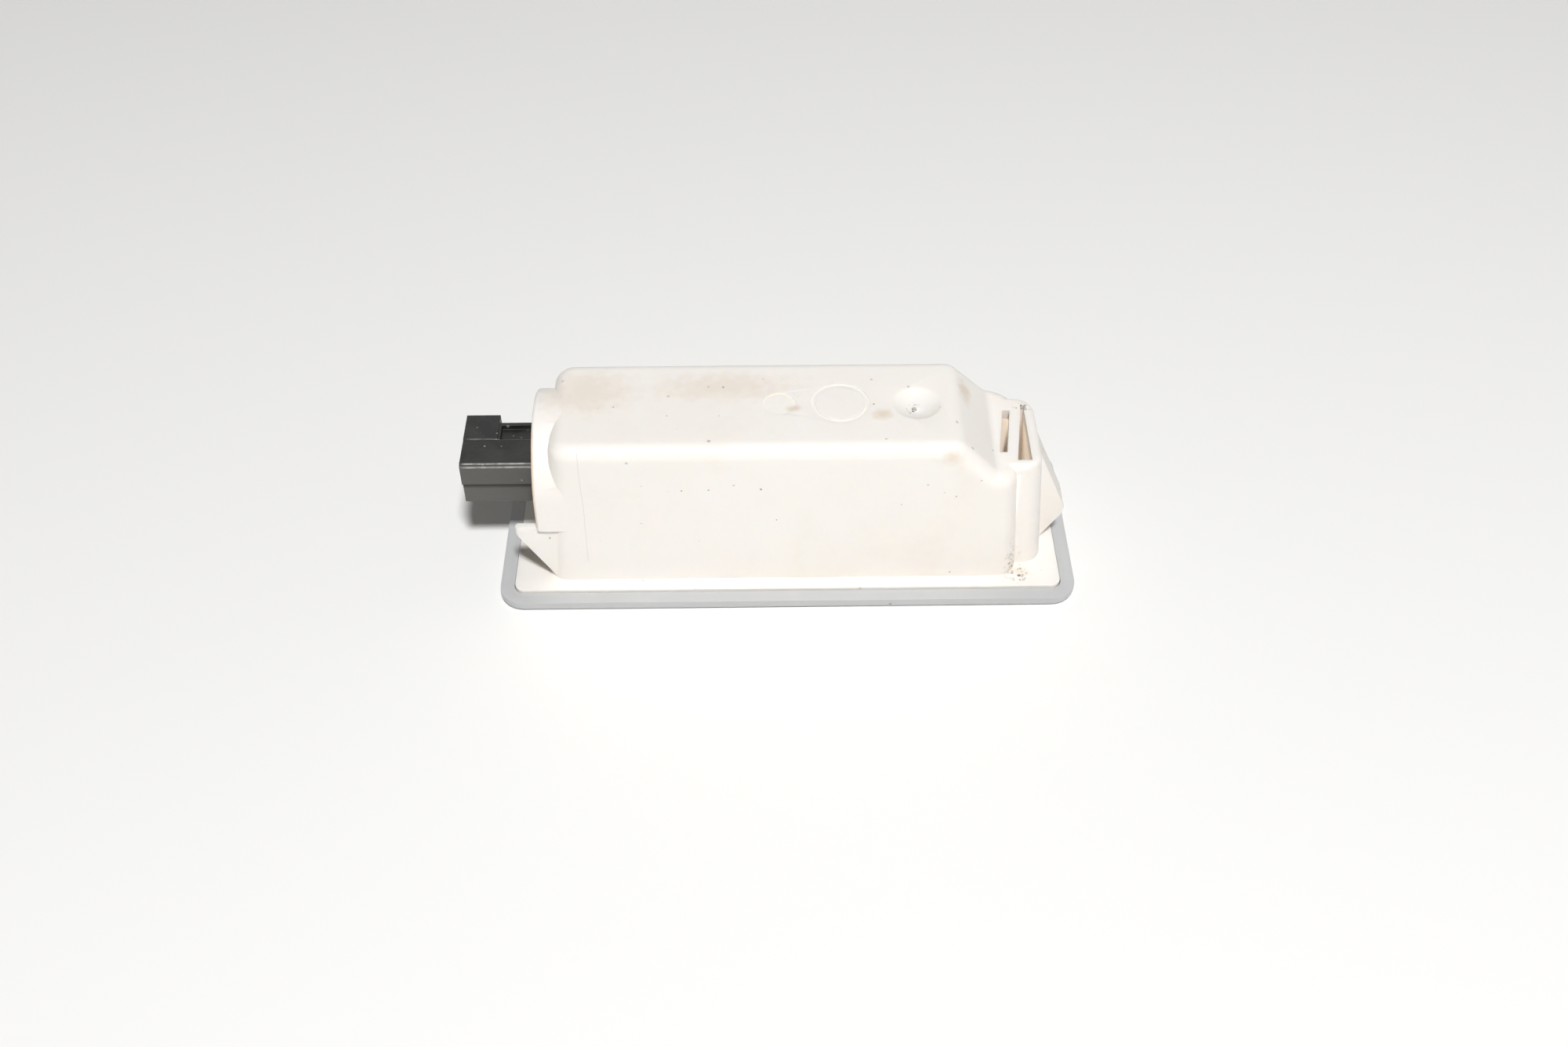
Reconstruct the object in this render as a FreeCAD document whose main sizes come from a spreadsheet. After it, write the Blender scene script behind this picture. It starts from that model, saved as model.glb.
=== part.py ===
"""Car interior light, lying on its lens: drafted housing, tray lens, bulb holder and wedge bulb.

Millimetres. +X runs along the lamp away from the connector, +Z is up out of the back of the
housing, and the origin is the centre of the lens's outer face.
"""
import FreeCAD, Part
import math
import os

import Sketcher

SIZES = {
    # Lens tray
    "lens_length": 68.0,
    "lens_width": 25.5,
    "lens_corner": 3.0,
    "lens_edge_round": 0.7,
    "rim_width": 1.65,
    "rim_height": 1.4,
    "seat_height": 0.7,
    "seat_clearance": 0.1,
    "plug_height": 1.9,
    "plug_clearance": 0.25,
    "plug_corner": 1.2,
    "rib_pitch": 2.4,
    "rib_rise": 0.45,
    "rib_margin": 2.0,
    # Housing box
    "overall_height": 20.9,
    "top_width": 15.8,
    "draft": 4.0,
    "flange_thickness": 1.0,
    "flange_corner": 1.3,
    "wall": 1.3,
    "body_left": 28.4,
    "body_right": 28.2,
    "end_slant": 8.0,
    "body_corner": 2.4,
    "keyed_corner": 4.2,
    "edge_round": 1.8,
    "slope_end": 23.9,
    "slope_angle": 45.0,
    "step_height": 16.4,
    "fold_round": 2.2,
    "crease_round": 1.2,
    # Spring loop with its barb
    "loop_right": 30.4,
    "loop_half": 7.2,
    "loop_corner": 2.4,
    "loop_edge_round": 0.8,
    "loop_wall": 1.25,
    "loop_floor": 1.2,
    "loop_front_wall": 1.1,
    "loop_rear_wall": 2.0,
    "vent_width": 0.9,
    "vent_length": 7.3,
    "vent_offset": 1.25,
    "barb_centre": -0.8,
    "barb_width": 4.0,
    "barb_reach": 33.1,
    "barb_tip_height": 6.6,
    "barb_tip_land": 1.2,
    "barb_tip_lean": 0.3,
    "barb_back_angle": 58.0,
    # Fixed hooks at the connector end
    "hook_reach": 31.6,
    "hook_top": 9.4,
    "hook_nose": 0.9,
    "hook_nose_round": 0.35,
    "hook_back_angle": 57.0,
    "hook_thickness": 0.8,
    "hook_inset": 0.45,
    # Hood and bulb holder socket
    "hood_left": 29.1,
    "hood_bottom": 9.25,
    "hood_edge_round": 0.4,
    "bore_radius": 6.6,
    "bore_clearance": 0.2,
    "seat_ring": 0.6,
    "seat_plane": 26.9,
    "boss_wall": 1.4,
    "boss_depth": 2.4,
    "lug_depth": 1.2,
    "lug_rise": 0.4,
    "lug_half_angle": 20.0,
    # Bulb holder
    "holder_flange": 1.0,
    "block_reach": 37.9,
    "block_half": 3.73,
    "block_top": 15.1,
    "block_tier": 12.05,
    "block_bottom": 8.9,
    "tier_inset": 0.5,
    "block_chamfer": 0.35,
    "key_width": 1.25,
    "key_length": 4.0,
    "key_depth": 2.2,
    "key_rise": 0.12,
    "latch_front": 0.75,
    "latch_back_wall": 0.5,
    "latch_depth": 0.6,
    "latch_gap": 0.3,
    "mouth_wall": 0.85,
    "mouth_depth": 8.2,
    "socket_length": 9.9,
    "socket_round": 0.5,
    # Contact strips
    "strip_thickness": 0.5,
    "strip_width": 2.0,
    "strip_pitch": 3.9,
    "strip_setback": 1.5,
    "strip_bow": 0.22,
    "bow_margin": 1.05,
    "strip_clearance": 0.05,
    "blade_taper": 0.6,
    # Wedge bulb
    "pinch_length": 6.3,
    "pinch_width": 9.0,
    "pinch_thickness": 2.1,
    "pinch_clearance": 0.2,
    "bulb_radius": 5.0,
    "bulb_length": 20.5,
    "glass_wall": 0.5,
    "lead_radius": 0.2,
    "lead_fold": 4.2,
    "lead_spacing": 1.4,
    "post_spread": 2.3,
    "post_reach": 11.0,
    "post_start": 1.5,
    "filament_radius": 0.3,
    # Moulding marks on the back
    "ejector_place": -0.9,
    "ejector_radius": 1.9,
    "insert_place": 6.1,
    "insert_radius": 3.4,
    "insert_groove": 0.5,
    "mark_depth": 0.12,
    "cup_place": 14.9,
    "cup_radius": 2.95,
    "cup_depth": 0.95,
    "gate_radius": 0.45,
    "gate_rise": 0.35,
}

# Places and sizes worked out from the sheet
FLANGE_TOP = "(Sizes.seat_height + Sizes.flange_thickness)"
FLANGE_LENGTH = "(Sizes.lens_length - 2 * Sizes.rim_width - 2 * Sizes.seat_clearance)"
FLANGE_WIDTH = "(Sizes.lens_width - 2 * Sizes.rim_width - 2 * Sizes.seat_clearance)"
DRAFT_RISE = "(Sizes.overall_height - Sizes.seat_height)"
BASE_HALF = f"(Sizes.top_width / 2 + {DRAFT_RISE} * tan(Sizes.draft))"
STEP_LEAN = "((Sizes.step_height - Sizes.seat_height) * tan(Sizes.draft))"
SLOT_FLOOR = f"({FLANGE_TOP} + Sizes.loop_floor)"
SLOT_LEAN = f"(({SLOT_FLOOR} - Sizes.seat_height) * tan(Sizes.draft))"
HOOD_FOOT = "(Sizes.top_width / 2 + (Sizes.overall_height - Sizes.hood_bottom) * tan(Sizes.draft))"
HOOD_RADIUS = "(Sizes.top_width / 2 * cos(Sizes.draft) / (1 - sin(Sizes.draft)))"
AXIS_HEIGHT = f"(Sizes.overall_height - {HOOD_RADIUS})"
SLOPE_RUN = "((Sizes.overall_height - Sizes.step_height) / tan(Sizes.slope_angle))"
SEAT_RADIUS = "(Sizes.bore_radius + Sizes.seat_ring)"
HOLDER_RADIUS = "(Sizes.bore_radius - Sizes.bore_clearance)"
BOSS_RIGHT = "(-Sizes.seat_plane + Sizes.boss_depth)"
SOCKET_END = "(-Sizes.seat_plane + Sizes.socket_length)"
PINCH_END = f"({SOCKET_END} - Sizes.pinch_length)"
STRIP_FACE = "(Sizes.strip_pitch / 2 + Sizes.strip_thickness / 2)"
DOME_END = f"({SOCKET_END} + Sizes.bulb_length)"
POST_END = f"({SOCKET_END} + Sizes.post_reach)"
POST_FOOT = f"({SOCKET_END} + Sizes.post_start)"
MARGIN = "Sizes.overall_height"
RIGHT_THROUGH = f"(4 * {BASE_HALF})"

PLANE_ROLES = {"XY": "XY_Plane", "XZ": "XZ_Plane", "YZ": "YZ_Plane"}
ALONG_X = FreeCAD.Rotation(FreeCAD.Vector(0, 1, 0), 90)
BROKEN_STATES = ("Invalid", "Error")
NEAR = 0.01

doc = FreeCAD.newDocument("interior_light")
sheet = doc.addObject("Spreadsheet::Sheet", "Sizes")
for row, (alias, number) in enumerate(SIZES.items(), start=1):
    sheet.set(f"A{row}", alias)
    sheet.set(f"B{row}", str(number))
    sheet.setAlias(f"B{row}", alias)
doc.recompute()


def value(expression):
    """Work out a sheet expression as a plain number."""
    result = sheet.evalExpression(str(expression))
    return float(getattr(result, "Value", result))


def new_body(name):
    """Start an empty body with its own label."""
    body = doc.addObject("PartDesign::Body", name)
    body.Label = name
    return body


def place_sketch(body, name, plane, offset):
    """Add a sketch on one of the body's origin planes, moved along the plane's normal."""
    sketch = body.newObject("Sketcher::SketchObject", name)
    role = PLANE_ROLES[plane]
    support = next(item for item in body.Origin.OriginFeatures if item.Role == role)
    sketch.AttachmentSupport = (support, [""])
    sketch.MapMode = "FlatFace"
    if offset is not None:
        sketch.setExpression("AttachmentOffset.Base.z", offset)
    return sketch


def bind(sketch, kind, item, point, expression):
    """Add one driving distance to a sketch point and tie it to the sheet."""
    index = sketch.addConstraint(Sketcher.Constraint(kind, item, point, value(expression)))
    sketch.setExpression(f"Constraints[{index}]", str(expression))


def outline(body, name, plane, corners, offset=None):
    """Draw a closed outline of straight lines whose corners are tied to the sheet."""
    sketch = place_sketch(body, name, plane, offset)
    points = [FreeCAD.Vector(value(first), value(second), 0) for first, second in corners]
    count = len(points)
    for index in range(count):
        sketch.addGeometry(Part.LineSegment(points[index], points[(index + 1) % count]))
    for index in range(count):
        sketch.addConstraint(Sketcher.Constraint("Coincident", index, 2, (index + 1) % count, 1))
    for index, (first, second) in enumerate(corners):
        bind(sketch, "DistanceX", index, 1, first)
        bind(sketch, "DistanceY", index, 1, second)
    return sketch


def pad(body, sketch, length, name, taper=None, lean=None, symmetric=False):
    """Extrude a sketch by a sheet length.

    A taper drafts all its sides inwards; a lean tips an upright pad towards the connector end.
    """
    feature = body.newObject("PartDesign::Pad", name)
    feature.Profile = sketch
    feature.setExpression("Length", length)
    if symmetric:
        feature.SideType = "Symmetric"
    if taper is not None:
        feature.setExpression("TaperAngle", f"-({taper})")
    if lean is not None:
        feature.UseCustomVector = True
        feature.Direction = FreeCAD.Vector(-math.tan(math.radians(value(lean))), 0, 1)
        feature.setExpression("Direction.x", f"-tan({lean})")
    doc.recompute()
    return feature


def pocket(body, sketch, length, name, symmetric=False, reverse=False):
    """Cut a sketch out of the body over a sheet length."""
    before = body.Shape.Volume
    feature = body.newObject("PartDesign::Pocket", name)
    feature.Profile = sketch
    feature.setExpression("Length", length)
    if symmetric:
        feature.SideType = "Symmetric"
    feature.Reversed = reverse
    doc.recompute()
    if body.Shape.Volume > before - NEAR:
        raise RuntimeError(f"{name} cut nothing")
    return feature


def middle_of(edge):
    """Give the point halfway along an edge."""
    return edge.valueAt((edge.FirstParameter + edge.LastParameter) / 2)


def rises(edge):
    """Tell whether an edge runs mostly up and down."""
    box = edge.BoundBox
    return box.ZLength > max(box.XLength, box.YLength)


def faces_up(face):
    """Tell whether a face looks mostly upwards at its middle."""
    first, last, low, high = face.ParameterRange
    return face.normalAt((first + last) / 2, (low + high) / 2).z > 0.5


def round_edges(body, name, test, radius, rim_only=False):
    """Round the edges of the body's last feature that pass a test.

    With rim_only, an edge counts only where an upward face meets a side wall.
    """
    base = body.Tip
    shape = base.Shape
    picked = []
    for number, edge in enumerate(shape.Edges, start=1):
        if not test(edge):
            continue
        if rim_only:
            sides = [faces_up(face) for face in shape.ancestorsOfType(edge, Part.Face)]
            if len(sides) != 2 or sides[0] == sides[1]:
                continue
        picked.append(f"Edge{number}")
    if not picked:
        raise RuntimeError(f"{name} found no edges")
    feature = body.newObject("PartDesign::Fillet", name)
    feature.Base = (base, picked)
    feature.setExpression("Radius", radius)
    doc.recompute()
    return feature


def box_corners(left, right, low, high):
    """List a rectangle's corners in order."""
    return [(left, low), (right, low), (right, high), (left, high)]


def centred_corners(length, width):
    """List the corners of a rectangle centred on the origin."""
    return box_corners(f"-{length} / 2", f"{length} / 2", f"-{width} / 2", f"{width} / 2")


def footprint(inset, bottom):
    """List the drafted box's corners at a height, drawn in by an inset."""
    growth = f"(({DRAFT_RISE} - ({bottom} - Sizes.seat_height)) * tan(Sizes.draft))"
    spread = f"((Sizes.seat_height - {bottom}) * tan(Sizes.draft))"
    half = f"(Sizes.top_width / 2 + {growth} - {inset})"
    left = f"-(Sizes.body_left + {spread} - {inset})"
    right = f"(Sizes.body_right + {spread} - {inset} / cos(Sizes.end_slant))"
    lean = f"{half} * tan(Sizes.end_slant)"
    return [(left, f"-{half}"), (f"{right} - {lean}", f"-{half}"), (f"{right} + {lean}", half), (left, half)]


def combine(kind, name, base, tool):
    """Join or cut two shapes as a document boolean."""
    result = doc.addObject(f"Part::{kind}", name)
    result.Base = base
    result.Tool = tool
    result.Refine = True
    doc.recompute()
    return result


def fuse(name, pieces):
    """Join several shapes into one."""
    result = doc.addObject("Part::MultiFuse", name)
    result.Shapes = pieces
    result.Refine = True
    doc.recompute()
    return result


def cylinder_along_x(name, radius, start, length, height=AXIS_HEIGHT):
    """Make a cylinder on the bulb's axis."""
    piece = doc.addObject("Part::Cylinder", name)
    piece.Placement = FreeCAD.Placement(FreeCAD.Vector(), ALONG_X)
    piece.setExpression("Radius", radius)
    piece.setExpression("Height", length)
    piece.setExpression("Placement.Base.x", start)
    piece.setExpression("Placement.Base.z", height)
    return piece


def upright_cylinder(name, radius, place, bottom, height):
    """Make an upright cylinder on the lamp's centre line."""
    piece = doc.addObject("Part::Cylinder", name)
    piece.setExpression("Radius", radius)
    piece.setExpression("Height", height)
    piece.setExpression("Placement.Base.x", place)
    piece.setExpression("Placement.Base.z", bottom)
    return piece


def block(name, x_range, y_range, z_range):
    """Make a box between sheet limits on each axis."""
    piece = doc.addObject("Part::Box", name)
    for side, axis, (low, high) in zip(("Length", "Width", "Height"), "xyz", (x_range, y_range, z_range)):
        piece.setExpression(side, f"({high}) - ({low})")
        piece.setExpression(f"Placement.Base.{axis}", low)
    return piece


# Housing: the drafted box with its sloping end
def drafted_box(name, inset, bottom):
    """Make the box's outer form, or its hollow when an inset is given."""
    body = new_body(name)
    top = f"(Sizes.overall_height - {inset})"
    step = f"(Sizes.step_height - {inset})"
    pad(body, outline(body, f"{name}_footprint", "XY", footprint(inset, bottom), bottom),
        f"{top} - {bottom}", f"{name}_pad", taper="Sizes.draft")
    keyed = value("Sizes.body_right") / 2

    def is_keyed(edge):
        point = middle_of(edge)
        return rises(edge) and point.x > keyed and point.y > 0

    round_edges(body, f"{name}_keyed_corner", is_keyed, f"Sizes.keyed_corner - {inset}")
    plain = [(-1, -1), (-1, 1), (1, -1)]

    def is_plain(edge):
        point = middle_of(edge)
        sides = (math.copysign(1, point.x), math.copysign(1, point.y))
        return rises(edge) and sides in plain

    round_edges(body, f"{name}_corners", is_plain, f"Sizes.body_corner - {inset}")
    crease = f"(Sizes.slope_end - {inset} * tan(Sizes.slope_angle / 2))"
    fold = f"({crease} - {SLOPE_RUN})"
    far = f"(Sizes.body_right + {MARGIN})"
    lead_in = f"({fold} - {MARGIN} / tan(Sizes.slope_angle))"
    above = f"({top} + {MARGIN})"
    slope = [(lead_in, above), (fold, top), (crease, step), (far, step), (far, above)]
    pocket(body, outline(body, f"{name}_slope", "XZ", slope), RIGHT_THROUGH, f"{name}_slope_cut",
           symmetric=True)
    levels = {"fold": (top, "Sizes.fold_round"), "crease": (step, "Sizes.crease_round")}
    for part, (level, radius) in levels.items():
        place = value(fold if part == "fold" else crease)
        height = value(level)

        def at_place(edge):
            box = edge.BoundBox
            spans = box.YLength > value("Sizes.top_width") / 2 and box.XLength < NEAR
            return spans and abs(box.XMin - place) < NEAR and abs(box.ZMin - height) < NEAR

        round_edges(body, f"{name}_{part}", at_place, radius)
    lowest = value(step) - NEAR
    round_edges(body, f"{name}_edges", lambda edge: edge.BoundBox.ZMin > lowest,
                f"Sizes.edge_round - {inset}", rim_only=True)
    return body


def make_spring_loop():
    """Make the hollow spring block on the sloping end, before its slots."""
    body = new_body("spring_loop")
    left = "(Sizes.body_right - 2 * Sizes.wall - Sizes.keyed_corner)"
    corners = box_corners(left, "Sizes.loop_right", "-Sizes.loop_half", "Sizes.loop_half")
    pad(body, outline(body, "loop_footprint", "XY", corners, "Sizes.seat_height"),
        "Sizes.step_height - Sizes.seat_height", "loop_pad", taper="Sizes.draft")
    end_wall = value("Sizes.body_right - Sizes.wall")
    round_edges(body, "loop_corners", lambda edge: rises(edge) and middle_of(edge).x > end_wall,
                "Sizes.loop_corner")
    inner = value(left) + value(MARGIN) * math.tan(math.radians(value("Sizes.draft")))

    def on_top(edge):
        return edge.BoundBox.ZMin > value("Sizes.step_height") - NEAR and edge.BoundBox.XMax > inner

    round_edges(body, "loop_edges", on_top, "Sizes.loop_edge_round")
    return body


def make_loop_slot():
    """Make the tapered slot that frees the spring wall from the box's end."""
    body = new_body("loop_slot")
    front = f"-(Sizes.loop_half - {STEP_LEAN} - Sizes.loop_front_wall)"
    rear = f"(Sizes.loop_half - {STEP_LEAN} - Sizes.loop_rear_wall)"
    right = f"(Sizes.loop_right - {SLOT_LEAN} - Sizes.loop_wall)"
    end_wall = f"(Sizes.body_right - {SLOT_LEAN})"
    corners = [
        (f"{end_wall} + {front} * tan(Sizes.end_slant)", front),
        (right, front),
        (right, rear),
        (f"{end_wall} + {rear} * tan(Sizes.end_slant)", rear),
    ]
    pad(body, outline(body, "loop_slot_outline", "XY", corners, SLOT_FLOOR), MARGIN, "loop_slot_pad",
        lean="Sizes.draft")
    return body


def make_vent_slot():
    """Make the slit beside the end wall that lets warm air out of the lamp."""
    body = new_body("vent_slot")
    half = "(Sizes.vent_length / 2)"
    right = f"(Sizes.body_right - {STEP_LEAN} - Sizes.vent_offset)"
    shift = f"({half} * tan(Sizes.end_slant))"
    corners = [
        (f"{right} - Sizes.vent_width - {shift}", f"-{half}"),
        (f"{right} - {shift}", f"-{half}"),
        (f"{right} + {shift}", half),
        (f"{right} - Sizes.vent_width + {shift}", half),
    ]
    pad(body, outline(body, "vent_outline", "XY", corners, "Sizes.step_height - 2 * Sizes.wall"),
        MARGIN, "vent_pad")
    return body


def make_barb():
    """Make the snap barb on the spring loop's outer wall."""
    body = new_body("barb")
    start = "(Sizes.step_height - Sizes.loop_edge_round)"
    tip_low = "(Sizes.barb_tip_height - Sizes.barb_tip_land)"
    tip_back = "(Sizes.barb_reach - Sizes.barb_tip_lean)"
    foot = f"({tip_back} - ({tip_low} - {FLANGE_TOP}) / tan(Sizes.barb_back_angle))"
    corners = [
        (f"Sizes.loop_right - {STEP_LEAN} - Sizes.loop_wall / 2", start),
        (f"Sizes.loop_right - {STEP_LEAN}", start),
        ("Sizes.barb_reach", "Sizes.barb_tip_height"),
        (tip_back, tip_low),
        (foot, FLANGE_TOP),
        ("Sizes.loop_right - Sizes.loop_wall / 2", FLANGE_TOP),
    ]
    pad(body, outline(body, "barb_outline", "XZ", corners, "-Sizes.barb_centre"), "Sizes.barb_width",
        "barb_pad", symmetric=True)
    return body


def make_hooks():
    """Make the pair of fixed hooks under the hood, each a rib that runs on from a side wall."""
    body = new_body("hooks")
    root = "(-Sizes.body_left + Sizes.body_corner)"
    wall_top = "(Sizes.top_width / 2 + (Sizes.overall_height - Sizes.hook_top) * tan(Sizes.draft))"
    outer_low = f"(Sizes.hook_inset - {BASE_HALF})"
    outer_high = f"(Sizes.hook_inset - {wall_top})"
    section = [
        (outer_low, "Sizes.seat_height"),
        (f"{outer_low} + Sizes.hook_thickness", "Sizes.seat_height"),
        (f"{outer_high} + Sizes.hook_thickness", "Sizes.hook_top"),
        (outer_high, "Sizes.hook_top"),
    ]
    rib = pad(body, outline(body, "hook_section", "YZ", section, "-Sizes.hook_reach"),
              f"Sizes.hook_reach + {root}", "hook_pad")
    nose_low = "(Sizes.hook_top - Sizes.hook_nose)"
    foot = f"(-Sizes.hook_reach + ({nose_low} - {FLANGE_TOP}) / tan(Sizes.hook_back_angle))"
    clear = f"(-Sizes.hook_reach - {MARGIN})"
    underside = [
        (clear, "0"),
        (foot, "0"),
        (foot, FLANGE_TOP),
        ("-Sizes.hook_reach", nose_low),
        (clear, nose_low),
    ]
    back = pocket(body, outline(body, "hook_underside", "XZ", underside), RIGHT_THROUGH, "hook_back",
                  symmetric=True)
    nose = -value("Sizes.hook_reach") + NEAR

    def on_nose(edge):
        return edge.BoundBox.XMax < nose and edge.BoundBox.ZLength > edge.BoundBox.YLength

    tip = round_edges(body, "hook_nose_round", on_nose, "Sizes.hook_nose_round")
    rear = body.newObject("PartDesign::Mirrored", "rear_hook")
    rear.Originals = [rib, back, tip]
    mirror_plane = next(item for item in body.Origin.OriginFeatures if item.Role == PLANE_ROLES["XZ"])
    rear.MirrorPlane = (mirror_plane, [""])
    body.Tip = rear
    doc.recompute()
    return body


def make_hood():
    """Make the arched hood over the bulb holder, solid before it is bored."""
    body = new_body("hood")
    sketch = place_sketch(body, "hood_arch", "YZ", "-Sizes.hood_left")
    side = f"({HOOD_RADIUS} * cos(Sizes.draft))"
    shoulder = f"({AXIS_HEIGHT} + {HOOD_RADIUS} * sin(Sizes.draft))"
    draft = math.radians(value("Sizes.draft"))
    middle = FreeCAD.Vector(0, value(AXIS_HEIGHT), 0)
    full = Part.Circle(middle, FreeCAD.Vector(0, 0, 1), value(HOOD_RADIUS))
    arch = sketch.addGeometry(Part.ArcOfCircle(full, draft, math.pi - draft))
    corners = [
        (f"-{side}", shoulder),
        (f"-{HOOD_FOOT}", "Sizes.hood_bottom"),
        (HOOD_FOOT, "Sizes.hood_bottom"),
        (side, shoulder),
    ]
    points = [FreeCAD.Vector(value(across), value(up), 0) for across, up in corners]
    left, foot, right = [
        sketch.addGeometry(Part.LineSegment(start, end)) for start, end in zip(points, points[1:])
    ]
    for joint in [(arch, 2, left, 1), (left, 2, foot, 1), (foot, 2, right, 1), (right, 2, arch, 1)]:
        sketch.addConstraint(Sketcher.Constraint("Coincident", *joint))
    bind(sketch, "DistanceX", arch, 3, "0")
    bind(sketch, "DistanceY", arch, 3, AXIS_HEIGHT)
    bind(sketch, "DistanceX", arch, 1, side)
    bind(sketch, "DistanceY", arch, 1, shoulder)
    bind(sketch, "DistanceX", arch, 2, f"-{side}")
    bind(sketch, "DistanceX", foot, 1, f"-{HOOD_FOOT}")
    bind(sketch, "DistanceY", foot, 1, "Sizes.hood_bottom")
    bind(sketch, "DistanceX", foot, 2, HOOD_FOOT)
    bind(sketch, "DistanceY", foot, 2, "Sizes.hood_bottom")
    pad(body, sketch, f"Sizes.hood_left + {BOSS_RIGHT}", "hood_pad")
    face = -value("Sizes.hood_left")
    round_edges(body, "hood_edges", lambda edge: edge.BoundBox.XMax < face + NEAR, "Sizes.hood_edge_round")
    return body


def make_bayonet_bar(name, start, length, radius, turned=False):
    """Make the upright bar that gives a pair of opposite lugs, or the notches a quarter turn away."""
    body = new_body(name)
    opening = f"({radius} * tan(Sizes.lug_half_angle))"
    across, up = (radius, opening) if turned else (opening, radius)
    corners = box_corners(f"-{across}", across, f"{AXIS_HEIGHT} - {up}", f"{AXIS_HEIGHT} + {up}")
    pad(body, outline(body, f"{name}_outline", "YZ", corners, start), length, f"{name}_pad")
    return body


def make_marks():
    """Make the moulding marks that are sunk into the back: ejector disc, plain insert ring and cup."""
    sunk = "(Sizes.overall_height - Sizes.mark_depth)"
    disc = upright_cylinder("ejector_mark", "Sizes.ejector_radius", "Sizes.ejector_place", sunk, MARGIN)
    outer = upright_cylinder("insert_outer", "Sizes.insert_radius", "Sizes.insert_place", sunk, MARGIN)
    inner = upright_cylinder("insert_inner", "Sizes.insert_radius - Sizes.insert_groove",
                             "Sizes.insert_place", f"{sunk} - Sizes.mark_depth", f"2 * {MARGIN}")
    ring = combine("Cut", "insert_ring", outer, inner)
    cup = doc.addObject("Part::Sphere", "cup")
    sphere = "((Sizes.cup_radius ^ 2 + Sizes.cup_depth ^ 2) / (2 * Sizes.cup_depth))"
    cup.setExpression("Radius", sphere)
    cup.setExpression("Placement.Base.x", "Sizes.cup_place")
    cup.setExpression("Placement.Base.z", f"Sizes.overall_height + {sphere} - Sizes.cup_depth")
    return fuse("sunk_marks", [disc, ring, cup])


def make_housing():
    """Join the box, flange, spring loop, hooks and hood, and cut what is hollow."""
    flange = new_body("flange")
    pad(flange, outline(flange, "flange_outline", "XY", centred_corners(FLANGE_LENGTH, FLANGE_WIDTH),
                        "Sizes.seat_height"), "Sizes.flange_thickness", "flange_pad")
    round_edges(flange, "flange_corners", rises, "Sizes.flange_corner")
    outer = fuse("housing_outer", [drafted_box("box", "0", "Sizes.seat_height"), flange, make_spring_loop(),
                                   make_barb(), make_hooks()])
    hollow = drafted_box("hollow", "Sizes.wall", "(Sizes.seat_height - Sizes.wall)")
    shell = combine("Cut", "housing_shell", outer, hollow)
    boss = cylinder_along_x("socket_boss", f"{SEAT_RADIUS} + Sizes.boss_wall - Sizes.seat_ring",
                            "-Sizes.seat_plane", "Sizes.boss_depth")
    gate = upright_cylinder("gate_mark", "Sizes.gate_radius", "Sizes.cup_place",
                            "Sizes.overall_height - Sizes.cup_depth - Sizes.mark_depth",
                            "Sizes.mark_depth + Sizes.gate_rise")
    closed = fuse("housing_closed", [shell, make_hood(), boss])
    bore = cylinder_along_x("bore", "Sizes.bore_radius", f"-{MARGIN} - Sizes.seat_plane",
                            f"{MARGIN} + 2 * Sizes.boss_depth")
    counterbore = cylinder_along_x("counterbore", SEAT_RADIUS, f"-{MARGIN} - Sizes.seat_plane", MARGIN)
    notch = "(Sizes.bore_radius + Sizes.lug_rise + Sizes.bore_clearance)"
    notch_start = "(-Sizes.seat_plane - Sizes.boss_depth)"
    notch_length = "(3 * Sizes.boss_depth)"
    notch_limit = cylinder_along_x("notch_limit", notch, notch_start, notch_length)
    notch_bar = make_bayonet_bar("notch_bar", notch_start, notch_length, notch, turned=True)
    notches = combine("Common", "bayonet_notches", notch_bar, notch_limit)
    slots = [make_loop_slot(), make_vent_slot()]
    cuts = fuse("housing_cuts", [bore, counterbore, notches, make_marks()] + slots)
    return fuse("housing", [combine("Cut", "housing_cut", closed, cuts), gate])


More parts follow.
